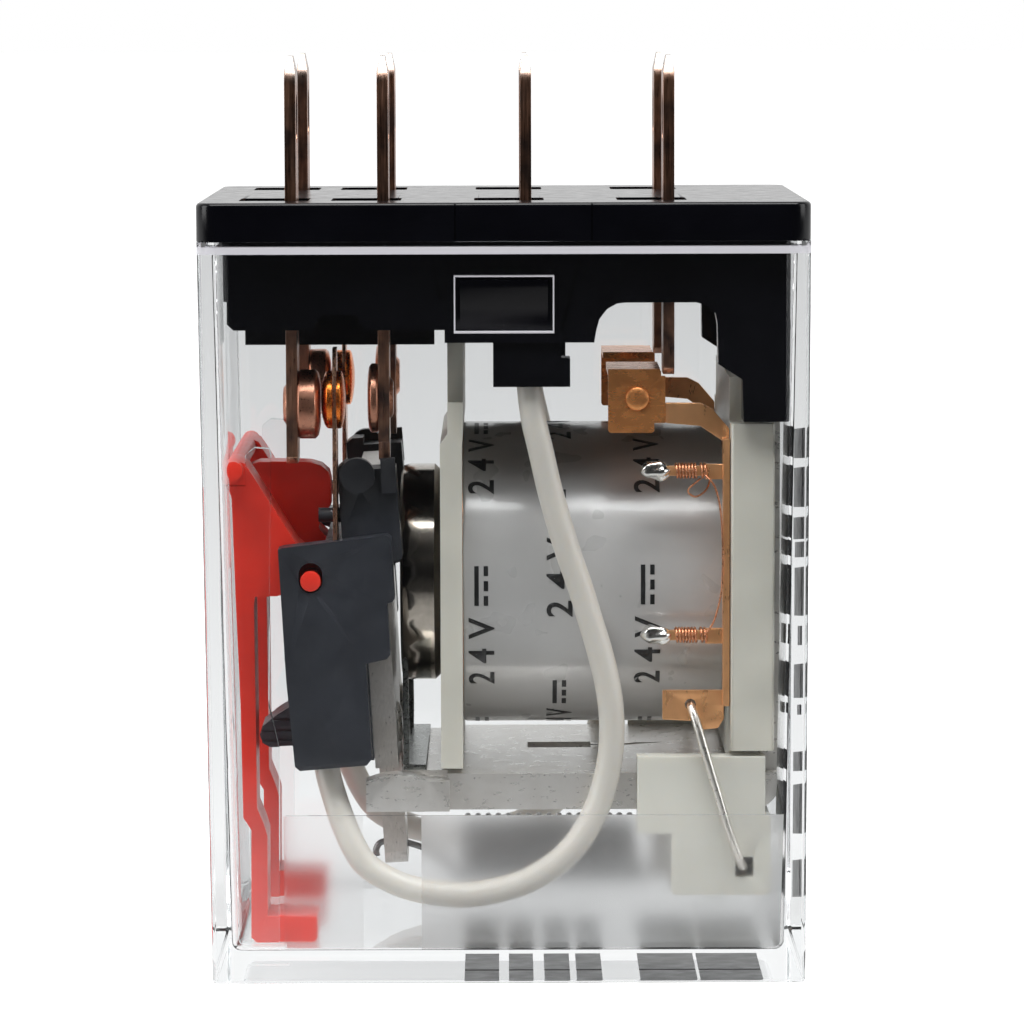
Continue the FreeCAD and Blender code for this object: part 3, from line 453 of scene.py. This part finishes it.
def new_mesh(name, verts, faces, material, smooth=True):
    mesh = bpy.data.meshes.new(name)
    mesh.from_pydata([tuple(c * MM for c in vert) for vert in verts], [], faces)
    mesh.validate()
    mesh.update()
    if smooth:
        smooth_all(mesh)
    thing = add_object(name, mesh)
    mesh.materials.append(material)
    return thing


def mesh_from(bm, name, material=None):
    mesh = bpy.data.meshes.new(name)
    bm.to_mesh(mesh)
    bm.free()
    if material:
        mesh.materials.append(material)
    return mesh


def catmull(points, steps):
    """A Catmull-Rom curve through the points, with some steps from each to the next."""
    points = [Vector(p) for p in points]
    points = [points[0] * 2 - points[1]] + points + [points[-1] * 2 - points[-2]]
    curve = []
    for p0, p1, p2, p3 in zip(points, points[1:], points[2:], points[3:]):
        for k in range(steps):
            t = k / steps
            curve.append(0.5 * ((2 * p1) + (-p0 + p2) * t + (2 * p0 - 5 * p1 + 4 * p2 - p3) * t * t
                                + (-p0 + 3 * p1 - 3 * p2 + p3) * t ** 3))
    curve.append(points[-2].copy())
    return curve


def sweep(name, path, radius, material, segments, radius_scale=None, bore=0.0):
    """A closed round bar along a path, or a sleeve if it has a bore. No path may start along Y."""
    points = [Vector(p) for p in path]
    last = len(points) - 1
    side = Vector((0.0, 1.0, 0.0))
    stations, radii = [], []
    for i, point in enumerate(points):
        tangent = (points[min(i + 1, last)] - points[max(i - 1, 0)]).normalized()
        if i == 0:
            side = (side - tangent * side.dot(tangent)).normalized()
        side = (side - tangent * side.dot(tangent)).normalized()
        stations.append((point, side.copy(), tangent.cross(side)))
        radii.append(radius * (radius_scale(i / last) if radius_scale else 1.0))
    angles = [2 * math.pi * k / segments for k in range(segments)]

    def rings(ring_radii):
        return [point + u * (r * math.cos(angle)) + v * (r * math.sin(angle))
                for (point, u, v), r in zip(stations, ring_radii) for angle in angles]

    verts = rings(radii)
    around = [(k, (k + 1) % segments) for k in range(segments)]
    faces = [(i + k, i + k2, i + segments + k2, i + segments + k)
             for i in range(0, last * segments, segments) for k, k2 in around]
    end = last * segments
    if bore:
        inside = len(verts)
        verts += rings([bore] * len(points))
        faces += [(inside + b, inside + a, inside + d, inside + c) for a, b, c, d in faces]
        for k, k2 in around:
            faces.append((k2, k, inside + k, inside + k2))
            faces.append((end + k, end + k2, inside + end + k2, inside + end + k))
    else:
        faces.append(tuple(reversed(range(segments))))
        faces.append(tuple(range(end, end + segments)))
    return new_mesh(name, verts, faces, material)


def mirrored(thing, name):
    """A copy mirrored from the front (-Y) to the rear."""
    mesh = thing.data.copy()
    mesh.transform(Matrix.Scale(-1, 4, Vector((0, 1, 0))))
    mesh.flip_normals()
    return add_object(name, mesh)


def join(parts, name):
    bm = bmesh.new()
    for part in parts:
        bm.from_mesh(part.data)
    mesh = mesh_from(bm, name, parts[0].data.materials[0])
    for part in parts:
        bpy.data.objects.remove(part)
    return add_object(name, mesh)


def shade(thing, angle):
    smooth_all(thing.data)
    thing.data.set_sharp_from_angle(angle=math.radians(angle))


def fix_to_frame(thing):
    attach(thing, FRAME_BONE)


# ------------------------------------------------------------------ sleeved lead wires
SLEEVE_R, SLEEVE_BORE = 0.575, 0.36
CONDUCTOR_R = 0.30
LEAD_BLEND = dict(start=(0.0030, 0, -0.0290), end=(-0.0078, 0, -0.0262))
# x, y, z down the front wire: under the base, down past the coil, round and up at -X
LEAD_PATH = [
    (1.13, -8.15, -7.30), (1.13, -8.15, -8.34), (1.33, -8.17, -9.82), (1.62, -8.2, -11.07),
    (1.95, -8.2, -12.55), (2.35, -8.2, -14.06), (2.86, -8.2, -15.74), (3.37, -8.2, -17.22),
    (3.82, -8.2, -18.71), (4.26, -8.2, -20.20), (4.62, -8.2, -21.75), (4.78, -8.2, -23.28),
    (4.70, -8.2, -24.91), (4.39, -8.2, -26.40), (3.92, -8.2, -27.62), (3.18, -8.2, -28.81),
    (2.15, -8.2, -29.80), (0.65, -8.2, -30.63), (-1.33, -8.2, -31.08), (-3.04, -8.15, -31.06),
    (-4.76, -8.05, -30.66), (-6.12, -7.90, -29.91), (-6.78, -7.75, -29.05),
    (-7.34, -7.40, -27.82), (-7.74, -7.05, -26.70), (-8.00, -6.75, -25.76),
    (-8.10, -6.55, -24.90), (-8.12, -6.50, -24.20),
]


def sleeve_scale(t):
    """A pinch near the upper end and a faint ripple; t runs from 0 to 1 along the sleeve."""
    return 1.0 - 0.05 * math.exp(-((t - 0.02) / 0.05) ** 2) + 0.008 * math.sin(40 * t)


def build_leads():
    front = sweep("lead_sleeve_front_tube", catmull(LEAD_PATH, 6), SLEEVE_R,
                  MATERIALS["sleeve"], segments=28, radius_scale=sleeve_scale, bore=SLEEVE_BORE)
    rear = mirrored(front, "lead_sleeve_rear_tube")
    for sleeve, node in ((front, "lead_sleeve_front"), (rear, "lead_sleeve_rear")):
        shade(sleeve, 50)
        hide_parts(node)
        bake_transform(sleeve, FRAME_BONE, ARMATURE_BONE, **LEAD_BLEND)
    front = sweep("lead_conductor_front", catmull(LEAD_PATH, 3), CONDUCTOR_R,
                  MATERIALS["lead"], segments=10)
    rear = mirrored(front, "lead_conductor_rear")
    for conductor in (front, rear):
        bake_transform(conductor, FRAME_BONE, ARMATURE_BONE, **LEAD_BLEND)


build_leads()

# ------------------------------------------------------------------ return spring
SPRING_R, SPRING_WIRE, SPRING_Z = 1.45, 0.30, -30.40
SPRING_X, SPRING_LENGTH = -2.0, 8.0
SPRING_TURNS, STEPS_PER_TURN = 17, 30
SPRING_START = math.radians(240)
# x, y, z of the hooks at the -X and +X ends
SPRING_HOOK_IN = [
    (-5.98, 0.0, -30.75), (-6.02, 0.0, -30.45), (-5.85, 0.0, -30.15), (-5.50, 0.0, -30.05),
    (-4.90, 0.0, -30.06), (-4.20, 0.0, -30.24), (-3.40, 0.0, -30.55), (-2.75, -0.25, -30.95),
    (-2.35, -0.72, -31.38),
]
SPRING_HOOK_OUT = [
    (6.12, -0.35, -31.78), (6.35, -0.05, -31.45), (6.7, 0.0, -31.2), (7.05, 0.0, -31.15),
    (7.40, 0.0, -31.22), (7.58, 0.0, -31.50),
]


def build_return_spring():
    path = catmull(SPRING_HOOK_IN, 4)[:-1]
    steps = SPRING_TURNS * STEPS_PER_TURN
    for i in range(steps + 1):
        angle = SPRING_START + 2 * math.pi * i / STEPS_PER_TURN
        path.append((SPRING_X + SPRING_LENGTH * i / steps, SPRING_R * math.cos(angle),
                     SPRING_Z + SPRING_R * math.sin(angle)))
    path += SPRING_HOOK_OUT
    spring = sweep("return_spring_coil", path, SPRING_WIRE / 2, MATERIALS["spring_wire"],
                   segments=12)
    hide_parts("return_spring")
    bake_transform(spring, FRAME_BONE, ARMATURE_BONE,
             start=(0.0055, 0, -0.0304), end=(-0.0040, 0, -0.0304))


build_return_spring()

# ------------------------------------------------------------------ print round the coil film
LETTER_HEIGHT, LETTER_SPACING = 1.18, 1.62
SYMBOL_GAP = 0.55                   # from the letters to the bar and dashes
DASH, DASH_PITCH = 0.45, 0.675
DASH_YS, BAR_YS = (0.28, 0.48), (0.70, 0.90)
CUT_STEP = 0.22                     # the flat print is cut this finely before it is bent
INK_R = TAPE_R + 0.012
INK_THICKNESS = 0.008
PRINT_PITCH = 9.40                  # round the coil, from one print to the next
# x of each line of print, and how far round the coil from the front it starts
PRINT_LINES = ((-0.46, -4.95), (3.06, -1.30), (7.02, -4.90))


def letters_mesh(text):
    """Flat letters, with the lower left corner at the origin."""
    curve = bpy.data.curves.new("glyph", "FONT")
    curve.body = text
    curve.space_character = LETTER_SPACING
    curve.resolution_u = 6
    curve.offset = 0.014
    holder = add_object("glyph", curve)
    bpy.context.view_layer.update()
    depsgraph = bpy.context.evaluated_depsgraph_get()
    mesh = bpy.data.meshes.new_from_object(holder.evaluated_get(depsgraph))
    places = np.array([v.co for v in mesh.vertices])
    scale = LETTER_HEIGHT / (places[:, 1].max() - places[:, 1].min())
    corner = (-places[:, 0].min() * scale, -places[:, 1].min() * scale, 0)
    mesh.transform(Matrix.Translation(corner) @ Matrix.Scale(scale, 4))
    bpy.data.objects.remove(holder)
    return mesh


def add_bar(bm, x0, x1, ys):
    y0, y1 = ys
    bm.faces.new([bm.verts.new((x, y, 0)) for x, y in ((x0, y0), (x1, y0), (x1, y1), (x0, y1))])


def add_wrapped_print(target, letters, line_x, start):
    """Adds the letters, and a bar over three dashes, bent round the coil."""
    bm = bmesh.new()
    bm.from_mesh(letters)
    width = max(v.co.x for v in bm.verts)
    symbol = width + SYMBOL_GAP
    add_bar(bm, symbol, symbol + 2 * DASH_PITCH + DASH, BAR_YS)
    for k in range(3):
        add_bar(bm, symbol + k * DASH_PITCH, symbol + k * DASH_PITCH + DASH, DASH_YS)
    cut = 0.0
    while cut < width + 3.0:
        bmesh.ops.bisect_plane(bm, geom=bm.verts[:] + bm.edges[:] + bm.faces[:],
                               plane_co=(cut, 0, 0), plane_no=(1, 0, 0))
        cut += CUT_STEP
    for v in bm.verts:
        angle = (start + v.co.x) / INK_R
        v.co = Vector(((line_x - v.co.y) * MM, -INK_R * math.cos(angle) * MM,
                       (COIL_Z + INK_R * math.sin(angle)) * MM))
    bent = mesh_from(bm, "bent_print")
    target.from_mesh(bent)
    bpy.data.meshes.remove(bent)


def build_coil_print():
    letters = letters_mesh("24V")
    bm = bmesh.new()
    for line_x, first in PRINT_LINES:
        for k in range(-1, 3):
            add_wrapped_print(bm, letters, line_x, first + k * PRINT_PITCH)
    # all faces look away from the coil axis
    bmesh.ops.recalc_face_normals(bm, faces=bm.faces)
    for face in bm.faces:
        middle = face.calc_center_median()
        if face.normal.dot(Vector((0, middle.y, middle.z - COIL_Z * MM))) < 0:
            face.normal_flip()
    ink = add_object("coil_print", mesh_from(bm, "coil_print", MATERIALS["ink"]))
    thick = ink.modifiers.new("thick", "SOLIDIFY")
    thick.thickness = INK_THICKNESS * MM
    thick.offset = -1.0
    fix_to_frame(ink)


build_coil_print()

# ------------------------------------------------------------------ coil wire on the posts
WRAP_WIRE_R, TAIL_WIRE_R = 0.055, 0.045
WRAP_R, WRAP_FLATTEN = 0.315, 0.86      # the turns are flattened in Y
STEPS_PER_WRAP = 18
WRAPS = ((7.62, 8.60, 7), (8.72, 9.05, 2))      # x from, x to, turns
# x, y, z of two loose tails: one bows down between the posts, one curls behind the upper post
TAILS = (
    [(8.9, -8.25, -12.2), (9.35, -8.42, -12.7), (9.62, -8.50, -13.8), (9.72, -8.52, -15.6),
     (9.66, -8.52, -17.4), (9.35, -8.45, -18.7), (9.0, -8.32, -19.3)],
    [(8.75, -7.95, -12.4), (8.2, -7.75, -12.95), (8.55, -7.6, -13.25), (9.05, -7.5, -12.9),
     (9.3, -7.2, -12.1)],
)


def wrap_path(post_z, x0, x1, turns):
    path = []
    steps = turns * STEPS_PER_WRAP
    for i in range(steps + 1):
        angle = 2 * math.pi * i / STEPS_PER_WRAP + rng.random() * 0.02
        r = WRAP_R + 0.02 * math.sin(i * 0.7)
        path.append((x0 + (x1 - x0) * i / steps,
                     POST_Y + r * math.cos(angle) * WRAP_FLATTEN,
                     post_z + r * math.sin(angle)))
    return path


def finish_pair(front, rear, node, angle):
    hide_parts(node)
    for thing in (front, rear):
        shade(thing, angle)
        fix_to_frame(thing)


def build_wire_wraps():
    wires = [sweep("wire", wrap_path(z, *wrap), WRAP_WIRE_R, MATERIALS["wrap"], segments=8)
             for z in POST_ZS for wrap in WRAPS]
    wires += [sweep("wire", catmull(tail, 6), TAIL_WIRE_R, MATERIALS["wrap"], segments=8)
              for tail in TAILS]
    front = join(wires, "coil_wire_front")
    rear = mirrored(front, "coil_wire_rear")
    finish_pair(front, rear, "coil_wire_wraps", angle=60)


build_wire_wraps()

# ------------------------------------------------------------------ solder on the posts
SOLDER_X, SOLDER_LENGTH = 6.05, 1.55


def solder_blob(post_z):
    """An uneven lump along X: a ball stretched out, with ripples in its radius."""
    bm = bmesh.new()
    bmesh.ops.create_icosphere(bm, subdivisions=4, radius=1.0)
    for v in bm.verts:
        x, y, z = v.co
        t = (x + 1) / 2
        r = (0.27 + 0.13 * math.sin(3.1 * t + 0.3) + 0.05 * math.sin(11 * t + post_z)
             + 0.03 * math.sin(5 * math.atan2(z, y) + 7 * t))
        sag = 0.05 * math.sin(6 * t) * math.sqrt(y * y + z * z)
        v.co = Vector(((SOLDER_X + SOLDER_LENGTH * t) * MM, (POST_Y + y * r * 0.95) * MM,
                       (post_z + z * r * 1.1 + sag) * MM))
    blob = add_object("blob", mesh_from(bm, "blob", MATERIALS["solder"]))
    shade(blob, 80)
    return blob


def build_solder():
    front = join([solder_blob(z) for z in POST_ZS], "solder_front")
    rear = mirrored(front, "solder_rear")
    finish_pair(front, rear, "solder_joints", angle=80)


build_solder()

# ------------------------------------------------------------------ print on the cover
BOX_FACES = ((0, 3, 2, 1), (4, 5, 6, 7), (0, 1, 5, 4), (1, 2, 6, 5), (2, 3, 7, 6), (3, 0, 4, 7))
FRONT_CORNER_Y = -10.2
SIDE_DEPTHS = (0.030, 0.018)    # the side bars lie this far inside the face of the wall
SIDE_STAGGER = 0.003            # added depth, stepping over three rows
# y spans of the bars in a row
SIDE_SPANS = {
    "long": ((-9.7, -3.7), (-3.1, 4.6)),
    "longest": ((-9.7, -4.0), (-2.9, 6.2)),
    "short": ((-9.0, -6.2), (-2.6, 0.4)),
}
# lower and upper z at the front corner, fall in z per mm towards the rear, spans
SIDE_ROWS = (
    (-11.31, -9.94, 0.059419, "longest"), (-13.49, -11.67, 0.065539, "longest"),
    (-14.90, -13.89, 0.071661, "longest"), (-15.71, -15.00, 0.074166, "long"),
    (-18.34, -16.11, 0.080012, "long"), (-19.64, -18.75, 0.086138, "short"),
    (-22.01, -20.44, 0.092546, "long"), (-22.75, -22.28, 0.096448, "short"),
    (-25.28, -24.38, 0.103697, "long"), (-28.12, -25.82, 0.110391, "long"),
    (-30.96, -29.24, 0.120160, "long"),
)
END_ZS = (-34.862, -34.850)
END_XS = ((-1.85, -0.30), (0.15, 1.25), (1.75, 2.90), (3.20, 4.35), (6.05, 8.60), (8.75, 11.55))
END_YS = ((-9.6, -5.7), (-5.3, 0.4))


def side_wall_x(z):
    """The +X wall of the cover, which leans out by 0.12 over its height of 33.16."""
    return 13.40 + 0.12 * (z + 34.88) / 33.16


def build_boxes(name, verts):
    """Boxes from a flat list of corners, eight to a box."""
    faces = [tuple(first + i for i in face)
             for first in range(0, len(verts), 8) for face in BOX_FACES]
    return new_mesh(name, verts, faces, MATERIALS["ink"], smooth=False)


def build_cover_print():
    corners = []
    for row, (z0, z1, fall, spans) in enumerate(SIDE_ROWS):
        for y0, y1 in SIDE_SPANS[spans]:
            for depth in SIDE_DEPTHS:
                for y, z in ((y0, z0), (y1, z0), (y1, z1), (y0, z1)):
                    z -= fall * (y - FRONT_CORNER_Y)
                    corners.append((side_wall_x(z) - (depth + SIDE_STAGGER * (row % 3)), y, z))
    side = build_boxes("side_print", corners)
    end = build_boxes("end_print", [
        (x, y, z) for x0, x1 in END_XS for y0, y1 in END_YS for z in END_ZS
        for x, y in ((x0, y0), (x1, y0), (x1, y1), (x0, y1))])
    for thing in (side, end):
        fix_to_frame(thing)


build_cover_print()


# ------------------------------------------------------------------ floor and surroundings
def floor_material():
    """Near white to the camera; to other rays greyer, and fading out towards the front."""
    g = material_graph("floor_paint")
    paint = g.mix(g.ramp(g.noise(scale=0.02, detail=2.0), NOISE_MID),
                  (0.90, 0.90, 0.895), (0.93, 0.93, 0.925))
    camera_ray = g.node("LightPath").outputs["Is Camera Ray"]
    fade = g.ramp(g.axes["Y"], (-70.0, -12.0), to=(0.03, 1.0))
    seen = g.calc("MAXIMUM", camera_ray, fade)
    return g.finish(g.principled(
        Base_Color=g.mix(seen, BLACK, g.mix(camera_ray, (0.30, 0.30, 0.30), paint)),
        Roughness=0.7, Specular_IOR_Level=0.0,
        Normal=g.bump(g.noise(scale=1.0), strength=0.05, depth=0.02),
        Emission_Color=WHITE,
        Emission_Strength=g.calc("ADD", g.times(seen, 0.55), g.times(camera_ray, 0.12))))


def build_floor():
    x, front, rear = 3000, -1200, 5000
    corners = [(-x, front, FLOOR_Z), (x, front, FLOOR_Z), (x, rear, FLOOR_Z), (-x, rear, FLOOR_Z)]
    new_mesh("floor", corners, [(0, 1, 2, 3)], floor_material(), smooth=False)


def build_world():
    """White from behind, dimmer from above and nearly dark from the front."""
    world = bpy.data.worlds.new("studio")
    scene.world = world
    g = Graph(world, "OutputWorld")
    axes = g.node("SeparateXYZ", {0: g.node("TexCoord").outputs["Generated"]}).outputs
    smooth = dict(interpolation_type="SMOOTHSTEP")
    behind = g.ramp(axes[1], (-0.05, 0.45), to=(0.008, 1.0), **smooth)
    above = g.ramp(axes[2], (0.45, 0.95), to=(0.0, 0.30), **smooth)
    # seen directly, the surroundings are plain white
    strength = g.calc("MAXIMUM", g.calc("MAXIMUM", behind, above),
                      g.node("LightPath").outputs["Is Camera Ray"])
    g.finish(g.node("Background", {"Strength": strength, "Color": WHITE}).outputs[0])


build_floor()
build_world()

# ------------------------------------------------------------------ lights and camera, in metres
LIGHT_TARGET = Vector((0, 0, -0.015))
CAMERA_PLACE = (-0.0000455, -0.2212806, 0.0082796)
CAMERA_YAW, CAMERA_PITCH, CAMERA_ROLL = 0.10358, 5.9396, -0.15975   # degrees; pitch looks down


def area_light(name, place, width, height, power):
    light = bpy.data.lights.new(name, "AREA")
    light.shape = "RECTANGLE"
    light.size = width
    light.size_y = height
    light.energy = power
    lamp = add_object(name, light)
    lamp.location = place
    lamp.rotation_euler = (LIGHT_TARGET - Vector(place)).to_track_quat("-Z", "Y").to_euler()


def cos_sin(degrees):
    angle = math.radians(degrees)
    return math.cos(angle), math.sin(angle)


def build_camera():
    yaw_cos, yaw_sin = cos_sin(CAMERA_YAW)
    pitch_cos, pitch_sin = cos_sin(CAMERA_PITCH)
    roll_cos, roll_sin = cos_sin(CAMERA_ROLL)
    level_right = Vector((yaw_cos, -yaw_sin, 0))
    level_up = Vector((yaw_sin * pitch_sin, yaw_cos * pitch_sin, pitch_cos))
    forward = Vector((yaw_sin * pitch_cos, yaw_cos * pitch_cos, -pitch_sin))
    right = level_right * roll_cos + level_up * roll_sin
    up = level_up * roll_cos - level_right * roll_sin
    data = bpy.data.cameras.new("camera")
    data.sensor_width = 36.0
    data.lens = 168.75
    data.clip_start = 0.01
    data.clip_end = 50
    camera = add_object("camera", data)
    rows = [(right[i], up[i], -forward[i], CAMERA_PLACE[i]) for i in range(3)]
    camera.matrix_world = Matrix((*rows, (0, 0, 0, 1)))
    scene.camera = camera


area_light("softbox_top", (0.0, -0.16, 0.36), width=0.42, height=0.20, power=2.1)
area_light("softbox_left", (-0.40, -0.14, 0.10), width=0.22, height=0.34, power=1.0)
area_light("softbox_right", (0.40, -0.14, 0.08), width=0.22, height=0.34, power=0.8)
build_camera()

scene.view_settings.view_transform = "Standard"
scene.view_settings.look = "None"
scene.cycles.use_denoising = True
scene.cycles.max_bounces = 16
scene.cycles.transmission_bounces = 14
scene.cycles.transparent_max_bounces = 16
scene.cycles.glossy_bounces = 8
scene.cycles.diffuse_bounces = 4
